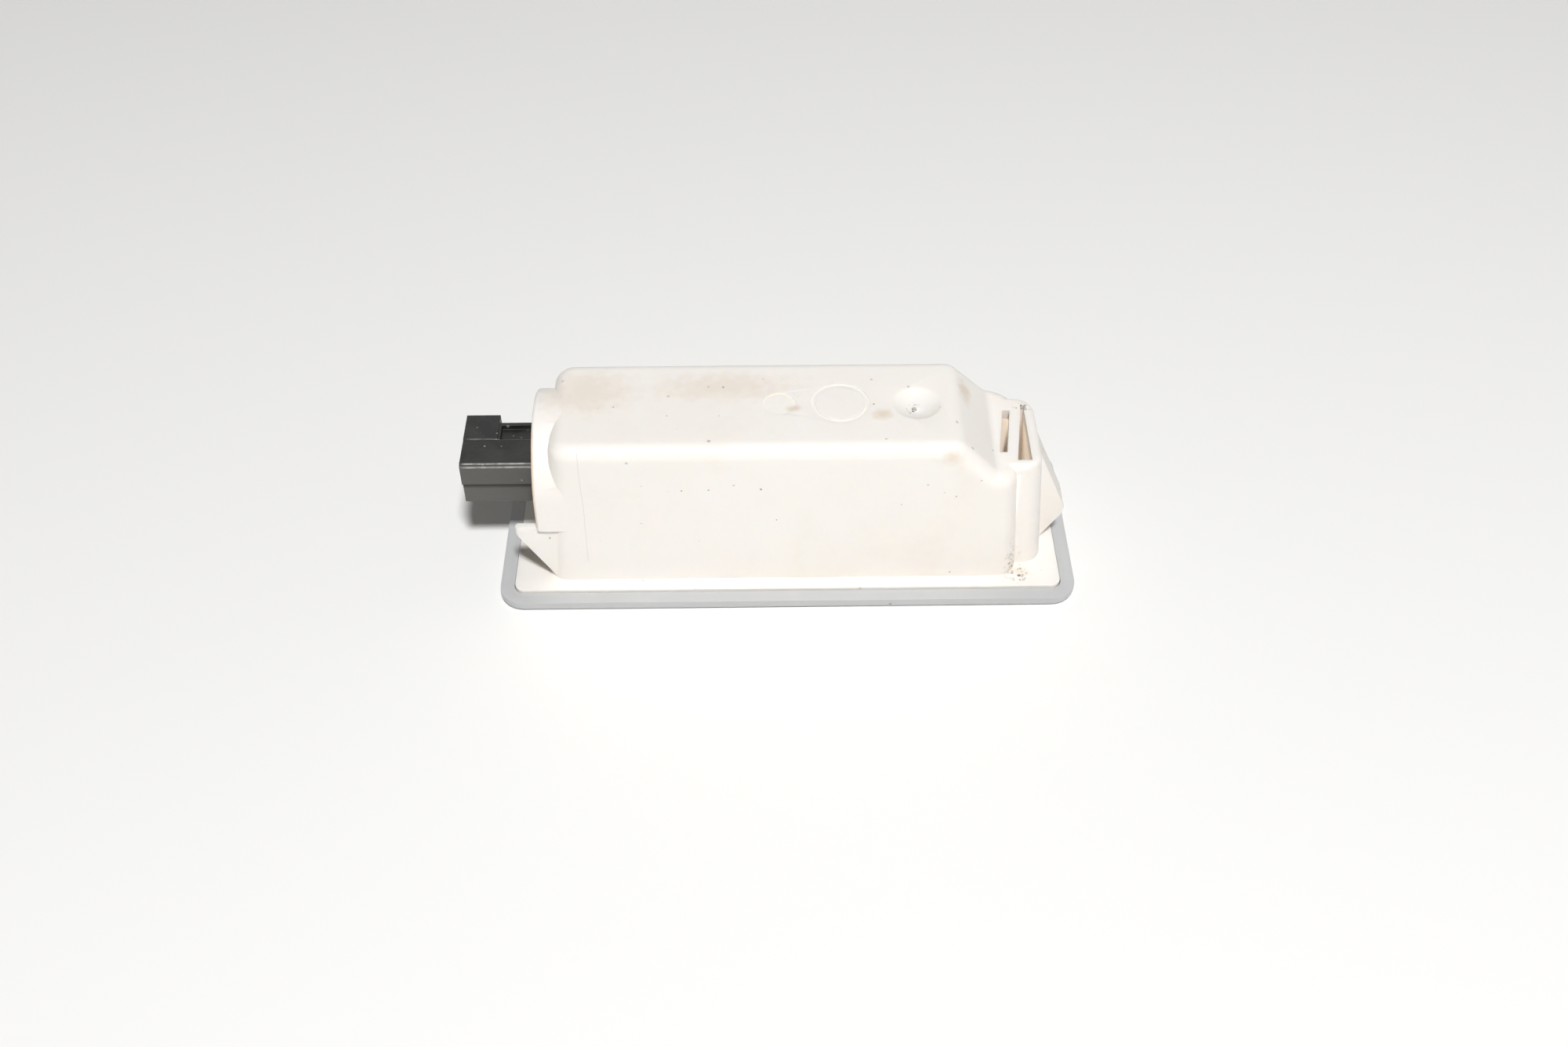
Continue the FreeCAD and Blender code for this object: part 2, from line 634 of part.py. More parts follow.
# Lens: a tray whose plug lifts a ribbed window into the housing's mouth
def make_lens():
    """Make the tray lens with its flange seat, locating plug and light-spreading ribs."""
    body = new_body("lens")
    pad(body, outline(body, "tray_outline", "XY", centred_corners("Sizes.lens_length", "Sizes.lens_width")),
        "Sizes.rim_height", "tray_pad")
    round_edges(body, "tray_corners", rises, "Sizes.lens_corner")
    round_edges(body, "tray_edge", lambda edge: edge.BoundBox.ZMax < NEAR, "Sizes.lens_edge_round")
    seat_length = f"({FLANGE_LENGTH} + 2 * Sizes.seat_clearance)"
    seat_width = f"({FLANGE_WIDTH} + 2 * Sizes.seat_clearance)"
    seat = centred_corners(seat_length, seat_width)
    pocket(body, outline(body, "seat_outline", "XY", seat, "Sizes.seat_height"), "Sizes.rim_height",
           "seat_pocket", reverse=True)
    inner_x, inner_y = value(seat_length) / 2, value(seat_width) / 2

    def in_seat_corner(edge):
        point = middle_of(edge)
        return rises(edge) and abs(abs(point.x) - inner_x) < NEAR and abs(abs(point.y) - inner_y) < NEAR

    round_edges(body, "seat_corners", in_seat_corner, "Sizes.flange_corner")
    inset = "(Sizes.wall + Sizes.plug_clearance)"
    plug = footprint(inset, "Sizes.plug_height")
    pad(body, outline(body, "plug_outline", "XY", plug, "Sizes.seat_height"),
        "Sizes.plug_height - Sizes.seat_height", "plug_pad")
    plug_level = value("Sizes.seat_height")

    def on_plug_corner(edge):
        point = middle_of(edge)
        inside = abs(point.y) < inner_y - value("Sizes.wall") and abs(point.x) < inner_x - value("Sizes.wall")
        return rises(edge) and inside and point.z > plug_level

    round_edges(body, "plug_corners", on_plug_corner, "Sizes.plug_corner + Sizes.body_corner")
    margin = f"({inset} + Sizes.rib_margin)"
    start = f"({margin} - Sizes.body_left)"
    ridge = [
        (start, "Sizes.plug_height"),
        (f"{start} + Sizes.rib_pitch / 2", "Sizes.plug_height + Sizes.rib_rise"),
        (f"{start} + Sizes.rib_pitch", "Sizes.plug_height"),
    ]
    plug_half = plug[2][1]
    first = pad(body, outline(body, "rib_outline", "XZ", ridge), f"2 * ({plug_half} - Sizes.rib_margin)",
                "rib_pad", symmetric=True)
    run = value(f"Sizes.body_left + Sizes.body_right - 2 * {margin} - {plug_half} * tan(Sizes.end_slant)")
    ribs = body.newObject("PartDesign::LinearPattern", "ribs")
    ribs.Originals = [first]
    along = next(item for item in body.Origin.OriginFeatures if item.Role == "X_Axis")
    ribs.Direction = (along, [""])
    ribs.Occurrences = int(run / value("Sizes.rib_pitch"))
    ribs.setExpression("Length", f"Sizes.rib_pitch * {ribs.Occurrences - 1}")
    body.Tip = ribs
    doc.recompute()
    return body


# Bulb holder: bayonet plug, wedge socket and connector block in one moulding
def make_connector_block():
    """Make the stepped connector block with its key, chamfers and lower tier."""
    body = new_body("connector_block")
    face = "-Sizes.block_half"
    tier = "-(Sizes.block_half - Sizes.tier_inset)"
    section = [
        (tier, "Sizes.block_bottom"),
        ("Sizes.block_half - Sizes.tier_inset", "Sizes.block_bottom"),
        ("Sizes.block_half - Sizes.tier_inset", "Sizes.block_tier"),
        ("Sizes.block_half", "Sizes.block_tier"),
        ("Sizes.block_half", "Sizes.block_top"),
        (f"{face} + Sizes.block_chamfer", "Sizes.block_top"),
        (face, "Sizes.block_top - Sizes.block_chamfer"),
        (face, "Sizes.block_tier"),
        (tier, "Sizes.block_tier"),
    ]
    pad(body, outline(body, "block_section", "YZ", section, "-Sizes.block_reach"),
        "Sizes.block_reach - Sizes.seat_plane", "block_pad")
    return body


def make_bulb_holder():
    """Join the connector block, flange, plug, lugs and socket, and cut the mouth and the slots."""
    key = block("key", ("-Sizes.block_reach", "-Sizes.block_reach + Sizes.key_length"),
                ("Sizes.latch_front", "Sizes.block_half + Sizes.key_width"),
                ("Sizes.block_top - Sizes.key_depth", "Sizes.block_top + Sizes.key_rise"))
    disc = cylinder_along_x("holder_flange", f"{SEAT_RADIUS} - Sizes.bore_clearance",
                            "-Sizes.seat_plane - Sizes.holder_flange", "Sizes.holder_flange")
    plug = cylinder_along_x("holder_plug", HOLDER_RADIUS, "-Sizes.seat_plane", "Sizes.socket_length")
    lug_start = f"({BOSS_RIGHT} + Sizes.bore_clearance)"
    lug_radius = "(Sizes.bore_radius + Sizes.lug_rise)"
    limit = cylinder_along_x("lug_limit", lug_radius, lug_start, "Sizes.lug_depth")
    lug_bar = make_bayonet_bar("lug_bar", lug_start, "Sizes.lug_depth", lug_radius)
    lugs = combine("Common", "bayonet_lugs", lug_bar, limit)
    solid = fuse("holder_solid", [make_connector_block(), key, disc, plug, lugs])
    mouth_half = "(Sizes.block_half - Sizes.mouth_wall)"
    mouth = block("mouth", (f"-Sizes.block_reach - {MARGIN}", "-Sizes.block_reach + Sizes.mouth_depth"),
                  (f"-({mouth_half} - Sizes.tier_inset)", f"{mouth_half} - Sizes.tier_inset"),
                  ("Sizes.block_bottom + Sizes.mouth_wall", "Sizes.block_top - Sizes.mouth_wall"))
    latch = block("latch_window", ("-Sizes.block_reach + Sizes.key_length + Sizes.latch_gap",
                                   "-Sizes.seat_plane - Sizes.holder_flange - Sizes.latch_gap"),
                  ("Sizes.latch_front", "Sizes.block_half - Sizes.latch_back_wall"),
                  ("Sizes.block_top - Sizes.latch_depth", f"Sizes.block_top + {MARGIN}"))
    pinch_half = "(Sizes.pinch_thickness / 2 + Sizes.pinch_clearance)"
    pinch_side = "(Sizes.pinch_width / 2 + Sizes.pinch_clearance)"
    bend = "(Sizes.pinch_thickness / 2 + 2 * Sizes.lead_radius + Sizes.pinch_clearance)"
    wedge = block("wedge_slot", (f"{PINCH_END} - Sizes.pinch_clearance", f"{SOCKET_END} + {MARGIN}"),
                  (f"-{pinch_half}", pinch_half),
                  (f"{AXIS_HEIGHT} - {pinch_side}", f"{AXIS_HEIGHT} + {pinch_side}"))
    strip_half = "(Sizes.strip_width / 2 + Sizes.strip_clearance)"
    strip_space = block("strip_space", (f"{PINCH_END} - {bend}", f"{SOCKET_END} + {MARGIN}"),
                        (f"-{STRIP_FACE}", STRIP_FACE),
                        (f"{AXIS_HEIGHT} - {strip_half}", f"{AXIS_HEIGHT} + {strip_half}"))
    inner = "(Sizes.strip_pitch / 2 - Sizes.strip_thickness / 2 - Sizes.strip_clearance)"
    channels = []
    for name, (low, high) in {"front": (f"-{STRIP_FACE}", f"-{inner}"), "rear": (inner, STRIP_FACE)}.items():
        channels.append(block(f"{name}_channel", ("-Sizes.block_reach", PINCH_END), (low, high),
                              (f"{AXIS_HEIGHT} - {strip_half}", f"{AXIS_HEIGHT} + {strip_half}")))
    cuts = fuse("holder_cuts", [mouth, latch, wedge, strip_space] + channels)
    return combine("Cut", "bulb_holder", solid, cuts)


def make_contact(name, side):
    """Make one contact strip: a connector blade that runs on into a bowed spring at the bulb."""
    body = new_body(name)
    outer = f"{side} * {STRIP_FACE}"
    inner = f"{side} * ({STRIP_FACE} - Sizes.strip_thickness)"
    peak_out = f"{side} * ({STRIP_FACE} - Sizes.strip_bow)"
    peak_in = f"{side} * ({STRIP_FACE} - Sizes.strip_thickness - Sizes.strip_bow)"
    tip = "(-Sizes.block_reach + Sizes.strip_setback)"
    end = f"({SOCKET_END} - Sizes.socket_round)"
    bow_start = f"({PINCH_END} + Sizes.bow_margin)"
    bow_middle = f"({PINCH_END} + Sizes.pinch_length / 2)"
    bow_end = f"({SOCKET_END} - Sizes.bow_margin)"
    corners = [(tip, outer), (bow_start, outer), (bow_middle, peak_out), (bow_end, outer), (end, outer),
               (end, inner), (bow_end, inner), (bow_middle, peak_in), (bow_start, inner), (tip, inner)]
    pad(body, outline(body, f"{name}_outline", "XY", corners, AXIS_HEIGHT), "Sizes.strip_width",
        f"{name}_pad", symmetric=True)
    tip_x = value(tip)

    def on_tip(edge):
        return edge.BoundBox.XMax < tip_x + NEAR and edge.BoundBox.YLength > NEAR

    base = body.Tip
    picked = [f"Edge{n}" for n, edge in enumerate(base.Shape.Edges, start=1) if on_tip(edge)]
    taper = body.newObject("PartDesign::Chamfer", f"{name}_taper")
    taper.Base = (base, picked)
    taper.setExpression("Size", "Sizes.blade_taper")
    doc.recompute()
    return body


# Wedge bulb
def make_bulb_glass():
    """Make the bulb's envelope and flat pinch in one piece of glass, with holes for the leads."""
    envelope = cylinder_along_x("envelope", "Sizes.bulb_radius", SOCKET_END,
                                "Sizes.bulb_length - Sizes.bulb_radius")
    dome = doc.addObject("Part::Sphere", "dome")
    inner_dome = doc.addObject("Part::Sphere", "inner_dome")
    radii = {dome: "Sizes.bulb_radius", inner_dome: "Sizes.bulb_radius - Sizes.glass_wall"}
    for sphere, radius in radii.items():
        sphere.setExpression("Radius", radius)
        sphere.setExpression("Placement.Base.x", f"{DOME_END} - Sizes.bulb_radius")
        sphere.setExpression("Placement.Base.z", AXIS_HEIGHT)
    pinch = block("pinch", (PINCH_END, f"{SOCKET_END} + Sizes.glass_wall"),
                  ("-Sizes.pinch_thickness / 2", "Sizes.pinch_thickness / 2"),
                  (f"{AXIS_HEIGHT} - Sizes.pinch_width / 2", f"{AXIS_HEIGHT} + Sizes.pinch_width / 2"))
    hollow = cylinder_along_x("bulb_hollow", "Sizes.bulb_radius - Sizes.glass_wall",
                              f"{SOCKET_END} + Sizes.glass_wall",
                              "Sizes.bulb_length - Sizes.bulb_radius - Sizes.glass_wall")
    holes = [cylinder_along_x(f"{name}_lead_hole", "Sizes.lead_radius", f"{PINCH_END} - Sizes.pinch_length",
                              "3 * Sizes.pinch_length", f"{AXIS_HEIGHT} + {side} * Sizes.lead_spacing / 2")
             for name, side in {"lower": -1, "upper": 1}.items()]
    solid = fuse("bulb_solid", [envelope, dome, pinch])
    return combine("Cut", "bulb_glass", solid, fuse("bulb_cuts", [hollow, inner_dome] + holes))


def make_lead(name, side):
    """Make one lead wire: filament post, straight run through the pinch and a fold over its flat side."""
    height, radius = value(AXIS_HEIGHT), value("Sizes.lead_radius")
    level = height + side * value("Sizes.lead_spacing") / 2
    end, foot = value(POST_END), value(POST_FOOT)
    bottom = value(PINCH_END)
    fold = value("Sizes.pinch_thickness / 2 + Sizes.lead_radius") + NEAR
    stop = bottom + value("Sizes.lead_fold")
    post_top = FreeCAD.Vector(end, 0, height + side * value("Sizes.post_spread"))
    post_foot = FreeCAD.Vector(foot, 0, level)
    exit_point = FreeCAD.Vector(bottom, 0, level)
    turn = FreeCAD.Vector(bottom - fold / 2, side * fold / 2, level)
    back = FreeCAD.Vector(bottom, side * fold, level)
    path = Part.Wire([Part.LineSegment(post_top, post_foot).toShape(),
                      Part.LineSegment(post_foot, exit_point).toShape(),
                      Part.Arc(exit_point, turn, back).toShape(),
                      Part.LineSegment(back, FreeCAD.Vector(stop, side * fold, level)).toShape()])
    section = Part.Wire([Part.makeCircle(radius, post_top, post_foot - post_top)])
    lead = doc.addObject("Part::Feature", name)
    lead.Shape = path.makePipeShell([section], True, False, 1)
    lead.Placement = FreeCAD.Placement()
    return lead


def make_filament():
    """Make the coil that spans the two posts, as a slim rod just clear of their tips."""
    coil = doc.addObject("Part::Cylinder", "bulb_filament")
    coil.setExpression("Radius", "Sizes.filament_radius")
    coil.setExpression("Height", "2 * Sizes.post_spread + 2 * Sizes.lead_radius")
    coil.setExpression("Placement.Base.x", f"{POST_END} + Sizes.filament_radius + Sizes.lead_radius")
    coil.setExpression("Placement.Base.z", f"{AXIS_HEIGHT} - Sizes.post_spread - Sizes.lead_radius")
    return coil


pieces = {
    "housing": make_housing(),
    "lens": make_lens(),
    "bulb_holder": make_bulb_holder(),
    "contact_front": make_contact("contact_front", -1),
    "contact_rear": make_contact("contact_rear", 1),
    "bulb_glass": make_bulb_glass(),
    "bulb_filament": make_filament(),
    "bulb_lead_front": make_lead("bulb_lead_front", -1),
    "bulb_lead_rear": make_lead("bulb_lead_rear", 1),
}
doc.recompute()

for item in doc.Objects:
    if any(state in item.State for state in BROKEN_STATES):
        raise RuntimeError(f"{item.Name} failed: {item.State}")
for node, piece in pieces.items():
    piece.Label = node
    if piece.Shape.isNull() or not piece.Shape.isValid():
        raise RuntimeError(f"{node} has no valid shape")

os.makedirs("parts", exist_ok=True)
for node, piece in pieces.items():
    piece.Shape.exportStep(f"parts/{node}.step")
    print(node, len(piece.Shape.Solids), round(piece.Shape.Volume, 2))
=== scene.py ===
"""Looks of a car interior light that lies on its lens on a pale table.

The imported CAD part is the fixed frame. Each solid is shown as a finished copy of itself, with its moulded
edges softened, and gets a procedural finish: cream housing, frosted lens, black bulb holder, brass contacts,
clear bulb glass and drawn wire. Lengths are metres; values named *_mm are millimetres. Angles are degrees.
"""

import logging
import math
from dataclasses import dataclass
from enum import Enum
from typing import Any, ClassVar, List, Sequence, Tuple

import bmesh
import bpy
from mathutils import Matrix, Vector


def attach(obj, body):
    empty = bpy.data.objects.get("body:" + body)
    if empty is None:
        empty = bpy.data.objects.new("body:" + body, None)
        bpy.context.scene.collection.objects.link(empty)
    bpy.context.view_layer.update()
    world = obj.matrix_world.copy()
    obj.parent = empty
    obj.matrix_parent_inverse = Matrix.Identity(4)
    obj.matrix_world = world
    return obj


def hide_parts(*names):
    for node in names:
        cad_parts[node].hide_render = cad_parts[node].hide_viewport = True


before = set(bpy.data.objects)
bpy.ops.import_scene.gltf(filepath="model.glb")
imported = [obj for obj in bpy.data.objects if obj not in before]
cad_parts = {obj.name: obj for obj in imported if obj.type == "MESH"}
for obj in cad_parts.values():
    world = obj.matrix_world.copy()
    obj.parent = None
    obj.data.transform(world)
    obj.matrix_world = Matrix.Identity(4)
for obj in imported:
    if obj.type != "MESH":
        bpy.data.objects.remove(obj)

LOG = logging.getLogger("interior_light")
MM = 0.001
BODY = "root"
MERGE_MM = 0.002
FLAT_ANGLE = 0.4
PLASTIC_IOR = 1.49
Colour = Tuple[float, float, float]
Triple = Tuple[float, float, float]


class Slot(Enum):
    """The record's material slots."""

    HOUSING = "housing_white"
    LENS = "lens_frosted"
    HOLDER = "holder_black"
    CONTACT = "contact_brass"
    GLASS = "bulb_glass"
    WIRE = "filament_wire"


class Board:
    """A node tree with short calls for placing nodes and joining them."""

    def __init__(self, tree: bpy.types.NodeTree) -> None:
        """Keep the tree.

        Args:
            tree: The node tree to fill.
        """
        self.tree = tree

    def add(self, kind: str, **settings: Any) -> bpy.types.Node:
        """Place one node.

        Args:
            kind: The node's Blender type name.
            settings: Properties to set on the node.

        Returns:
            The new node.
        """
        node = self.tree.nodes.new(kind)
        for name, value in settings.items():
            setattr(node, name, value)
        return node

    def feed(self, socket: bpy.types.NodeSocket, value: Any) -> None:
        """Join a socket to another one, or set its own value.

        Args:
            socket: The input to fill.
            value: An output socket, or a plain value.
        """
        if isinstance(value, bpy.types.NodeSocket):
            self.tree.links.new(value, socket)
        else:
            socket.default_value = value

    def math(self, operation: str, first: Any, second: Any = 0.0,
             clamp: bool = False) -> bpy.types.NodeSocket:
        """Place a Math node.

        Args:
            operation: The Math node's operation.
            first: Its first value or socket.
            second: Its second value or socket.
            clamp: Whether the result is kept from 0 to 1.

        Returns:
            The node's output.
        """
        node = self.add("ShaderNodeMath", operation=operation, use_clamp=clamp)
        self.feed(node.inputs[0], first)
        self.feed(node.inputs[1], second)
        return node.outputs[0]

    def vector(self, operation: str, first: Any, second: Any = (0.0, 0.0, 0.0)) -> bpy.types.Node:
        """Place a Vector Math node.

        Args:
            operation: The node's operation.
            first: Its first vector or socket.
            second: Its second vector or socket.

        Returns:
            The node.
        """
        node = self.add("ShaderNodeVectorMath", operation=operation)
        self.feed(node.inputs[0], first)
        self.feed(node.inputs[1], second)
        return node

    def remap(self, value: Any, low: float, high: float, start: float, end: float) -> bpy.types.NodeSocket:
        """Place a smooth Map Range node.

        Args:
            value: The socket to remap.
            low: Where the input range starts.
            high: Where the input range ends.
            start: The result at low.
            end: The result at high.

        Returns:
            The node's output.
        """
        node = self.add("ShaderNodeMapRange", interpolation_type="SMOOTHSTEP")
        settings = {"Value": value, "From Min": low, "From Max": high, "To Min": start, "To Max": end}
        for name, setting in settings.items():
            self.feed(node.inputs[name], setting)
        return node.outputs["Result"]

    def mix(self, share: Any, first: Any, second: Any) -> bpy.types.NodeSocket:
        """Place a colour Mix node.

        Args:
            share: How much of the second colour shows.
            first: A colour or socket.
            second: A colour or socket.

        Returns:
            The mixed colour.
        """
        node = self.add("ShaderNodeMix", data_type="RGBA")
        self.feed(node.inputs["Factor"], share)
        colours = [socket for socket in node.inputs if socket.type == "RGBA"]
        for socket, value in zip(colours, (first, second)):
            self.feed(socket, opaque(value) if isinstance(value, tuple) else value)
        return next(socket for socket in node.outputs if socket.type == "RGBA")

    def noise(self, place: Any, scale: Any, detail: float, stretch: float = 0.0) -> bpy.types.NodeSocket:
        """Place a Noise Texture node.

        Args:
            place: The coordinates it reads.
            scale: Its scale per metre.
            detail: How many octaves it has.
            stretch: How much it is distorted.

        Returns:
            The noise value.
        """
        node = self.add("ShaderNodeTexNoise")
        self.feed(node.inputs["Vector"], place)
        self.feed(node.inputs["Scale"], scale)
        node.inputs["Detail"].default_value = detail
        node.inputs["Distortion"].default_value = stretch
        return node.outputs["Fac"]

    def place(self) -> bpy.types.NodeSocket:
        """Give the Object coordinates."""
        return self.add("ShaderNodeTexCoord").outputs["Object"]

    def group(self, tree: bpy.types.NodeTree, **values: float) -> bpy.types.Node:
        """Place a node group.

        Args:
            tree: The group.
            values: Its inputs, by name with underscores for spaces.

        Returns:
            The group's node.
        """
        node = self.add("ShaderNodeGroup")
        node.node_tree = tree
        for name, value in values.items():
            self.feed(node.inputs[name.replace("_", " ")], value)
        return node


def opaque(colour: Sequence[float]) -> Tuple[float, float, float, float]:
    """Give a colour with full alpha."""
    return (colour[0], colour[1], colour[2], 1.0)


def new_group(name: str, inputs: Sequence[str], outputs: Sequence[str]) -> Tuple[Board, Any, Any]:
    """Start a shader node group of plain value sockets.

    Args:
        name: The group's name.
        inputs: Names of its inputs.
        outputs: Names of its outputs.

    Returns:
        Its board, its input node's outputs and its output node's inputs.
    """
    tree = bpy.data.node_groups.new(name, "ShaderNodeTree")
    for socket in inputs:
        tree.interface.new_socket(name=socket, in_out="INPUT", socket_type="NodeSocketFloat")
    for socket in outputs:
        tree.interface.new_socket(name=socket, in_out="OUTPUT", socket_type="NodeSocketFloat")
    board = Board(tree)
    return board, board.add("NodeGroupInput").outputs, board.add("NodeGroupOutput").inputs


class SurfaceEffects:
    """The effects that several finishes share, each as one node group."""

    GRAIN_DETAIL: ClassVar[float] = 3.0
    GRAIN_SHARE: ClassVar[float] = 0.55
    SWELL_DETAIL: ClassVar[float] = 2.0
    TONE_RANGE: ClassVar[Tuple[float, float]] = (0.3, 0.7)
    SHAKE_SCALE: ClassVar[float] = 7.0
    SHAKE: ClassVar[float] = 0.16
    SPECK_SHARPNESS: ClassVar[float] = 40.0
    FAINTEST_SPECK: ClassVar[float] = 0.35
    CLOUD_DETAIL: ClassVar[float] = 6.0
    CLOUD_STRETCH: ClassVar[float] = 0.6
    CLOUD_SHARE: ClassVar[float] = 0.8
    MOTTLE_SCALE: ClassVar[float] = 9.0
    MOTTLE_DETAIL: ClassVar[float] = 4.0
    MOTTLE_SHARE: ClassVar[float] = 0.2
    FILM_CONTRAST: ClassVar[float] = 4.0

    def __init__(self) -> None:
        """Build the groups."""
        self.grain = self._moulded_grain()
        self.specks = self._grit_specks()
        self.film = self._grime_film()

    def _moulded_grain(self) -> bpy.types.NodeTree:
        """Build the fine grain and slow swell of a moulded surface.

        Returns:
            A group with Height and Tone outputs.
        """
        board, given, result = new_group("moulded_grain", ("Grain Scale", "Swell Scale"), ("Height", "Tone"))
        place = board.place()
        grain = board.noise(place, given["Grain Scale"], self.GRAIN_DETAIL)
        swell = board.noise(place, given["Swell Scale"], self.SWELL_DETAIL)
        fine = board.math("MULTIPLY", grain, self.GRAIN_SHARE)
        board.feed(result["Height"], board.math("ADD", fine, swell))
        board.feed(result["Tone"], board.remap(swell, *self.TONE_RANGE, 0.0, 1.0))
        return board.tree

    def _grit_specks(self) -> bpy.types.NodeTree:
        """Build scattered grains of grit.

        Returns:
            A group with a Mask output that is 1 on a grain.
        """
        board, given, result = new_group("grit_specks", ("Cell Scale", "Share", "Radius"), ("Mask",))
        ragged = board.add("ShaderNodeTexNoise")
        board.feed(ragged.inputs["Vector"], board.place())
        board.feed(ragged.inputs["Scale"], board.math("MULTIPLY", given["Cell Scale"], self.SHAKE_SCALE))
        shake = board.vector("SUBTRACT", ragged.outputs["Color"], (0.5, 0.5, 0.5)).outputs["Vector"]
        scaled = board.add("ShaderNodeVectorMath", operation="SCALE")
        board.feed(scaled.inputs[0], board.place())
        board.feed(scaled.inputs["Scale"], given["Cell Scale"])
        shaken = board.vector("MULTIPLY_ADD", shake, (self.SHAKE, self.SHAKE, self.SHAKE))
        board.feed(shaken.inputs[2], scaled.outputs["Vector"])
        cells = board.add("ShaderNodeTexVoronoi")
        board.feed(cells.inputs["Vector"], shaken.outputs["Vector"])
        cells.inputs["Scale"].default_value = 1.0
        shade = board.add("ShaderNodeSeparateColor")
        board.feed(shade.inputs[0], cells.outputs["Color"])
        size = board.math("MULTIPLY", given["Radius"], shade.outputs[1])
        edge = board.math("SUBTRACT", size, cells.outputs["Distance"])
        grain = board.math("MULTIPLY", edge, self.SPECK_SHARPNESS, clamp=True)
        chosen = board.math("LESS_THAN", shade.outputs[0], given["Share"])
        depth = board.remap(shade.outputs[2], 0.0, 1.0, self.FAINTEST_SPECK, 1.0)
        board.feed(result["Mask"], board.math("MULTIPLY", board.math("MULTIPLY", grain, chosen), depth))
        return board.tree

    def _grime_film(self) -> bpy.types.NodeTree:
        """Build the cloudy film that handling leaves.

        Returns:
            A group with a Mask output.
        """
        board, given, result = new_group("grime_film", ("Cloud Scale", "Onset"), ("Mask",))
        place = board.place()
        cloud = board.noise(place, given["Cloud Scale"], self.CLOUD_DETAIL, stretch=self.CLOUD_STRETCH)
        fine_scale = board.math("MULTIPLY", given["Cloud Scale"], self.MOTTLE_SCALE)
        fine = board.noise(place, fine_scale, self.MOTTLE_DETAIL)
        mottled = board.math("ADD", board.math("MULTIPLY", cloud, self.CLOUD_SHARE),
                             board.math("MULTIPLY", fine, self.MOTTLE_SHARE))
        raised = board.math("SUBTRACT", mottled, given["Onset"])
        board.feed(result["Mask"], board.math("MULTIPLY", raised, self.FILM_CONTRAST, clamp=True))
        return board.tree


@dataclass(frozen=True)
class Spot:
    """A soft patch on a surface: its centre and half-sizes in millimetres, and how strong it is."""

    EDGE_SCALE: ClassVar[float] = 900.0
    EDGE_DETAIL: ClassVar[float] = 4.0
    RAGGEDNESS: ClassVar[float] = 0.9
    FADE: ClassVar[Tuple[float, float]] = (0.55, 1.45)

    centre_mm: Triple
    half_mm: Triple
    strength: float

    def mask(self, board: Board) -> bpy.types.NodeSocket:
        """Place the nodes of the patch.

        Args:
            board: The material's board.

        Returns:
            A mask that fades out at a ragged edge.
        """
        place = board.place()
        offset = board.vector("SUBTRACT", place, tuple(c * MM for c in self.centre_mm))
        scaled = board.vector("DIVIDE", offset.outputs["Vector"], tuple(h * MM for h in self.half_mm))
        length = board.vector("LENGTH", scaled.outputs["Vector"]).outputs["Value"]
        edge = board.noise(place, self.EDGE_SCALE, self.EDGE_DETAIL)
        ragged = board.math("ADD", length, board.math("MULTIPLY", edge, self.RAGGEDNESS))
        return board.remap(ragged, *self.FADE, self.strength, 0.0)


@dataclass(frozen=True)
class RoundMark:
    """A round mould mark on the top: its centre and radius in millimetres, and how strong it is."""

    EDGE: ClassVar[Tuple[float, float]] = (0.94, 1.03)

    centre_mm: Tuple[float, float]
    radius_mm: float
    strength: float

    def mask(self, board: Board) -> bpy.types.NodeSocket:
        """Place the nodes of the mark.

        Args:
            board: The material's board.

        Returns:
            A mask that is strong inside the radius.
        """
        flat = board.vector("MULTIPLY", board.place(), (1.0, 1.0, 0.0)).outputs["Vector"]
        centre = (self.centre_mm[0] * MM, self.centre_mm[1] * MM, 0.0)
        reach = board.vector("DISTANCE", flat, centre).outputs["Value"]
        inner, outer = (share * self.radius_mm * MM for share in self.EDGE)
        return board.remap(reach, inner, outer, self.strength, 0.0)


@dataclass(frozen=True)
class HairLine:
    """A hair-thin line down a front wall: its ends in X and Z, its half width and how strong it is."""

    WANDER_SCALE: ClassVar[float] = 120.0
    WANDER_DETAIL: ClassVar[float] = 2.0
    WANDER_MM: ClassVar[float] = 0.9

    top_mm: Tuple[float, float]
    bottom_mm: Tuple[float, float]
    front_mm: float
    half_mm: float
    strength: float

    def mask(self, board: Board) -> bpy.types.NodeSocket:
        """Place the nodes of the line.

        Args:
            board: The material's board.

        Returns:
            A mask along the line.
        """
        place = board.place()
        parts = board.add("ShaderNodeSeparateXYZ")
        board.feed(parts.inputs[0], place)
        lean = (self.top_mm[0] - self.bottom_mm[0]) / (self.top_mm[1] - self.bottom_mm[1])
        run = board.math("MULTIPLY", board.math("SUBTRACT", parts.outputs["Z"], self.bottom_mm[1] * MM), lean)
        drift = board.math("SUBTRACT", board.noise(place, self.WANDER_SCALE, self.WANDER_DETAIL), 0.5)
        wander = board.math("MULTIPLY", drift, self.WANDER_MM * MM)
        middle = board.math("ADD", board.math("ADD", run, self.bottom_mm[0] * MM), wander)
        aside = board.math("ABSOLUTE", board.math("SUBTRACT", parts.outputs["X"], middle))
        line = board.remap(aside, 0.0, self.half_mm * MM, self.strength, 0.0)
        in_front = board.math("LESS_THAN", parts.outputs["Y"], self.front_mm * MM)
        above = board.math("GREATER_THAN", parts.outputs["Z"], self.bottom_mm[1] * MM)
        return board.math("MULTIPLY", line, board.math("MULTIPLY", in_front, above))


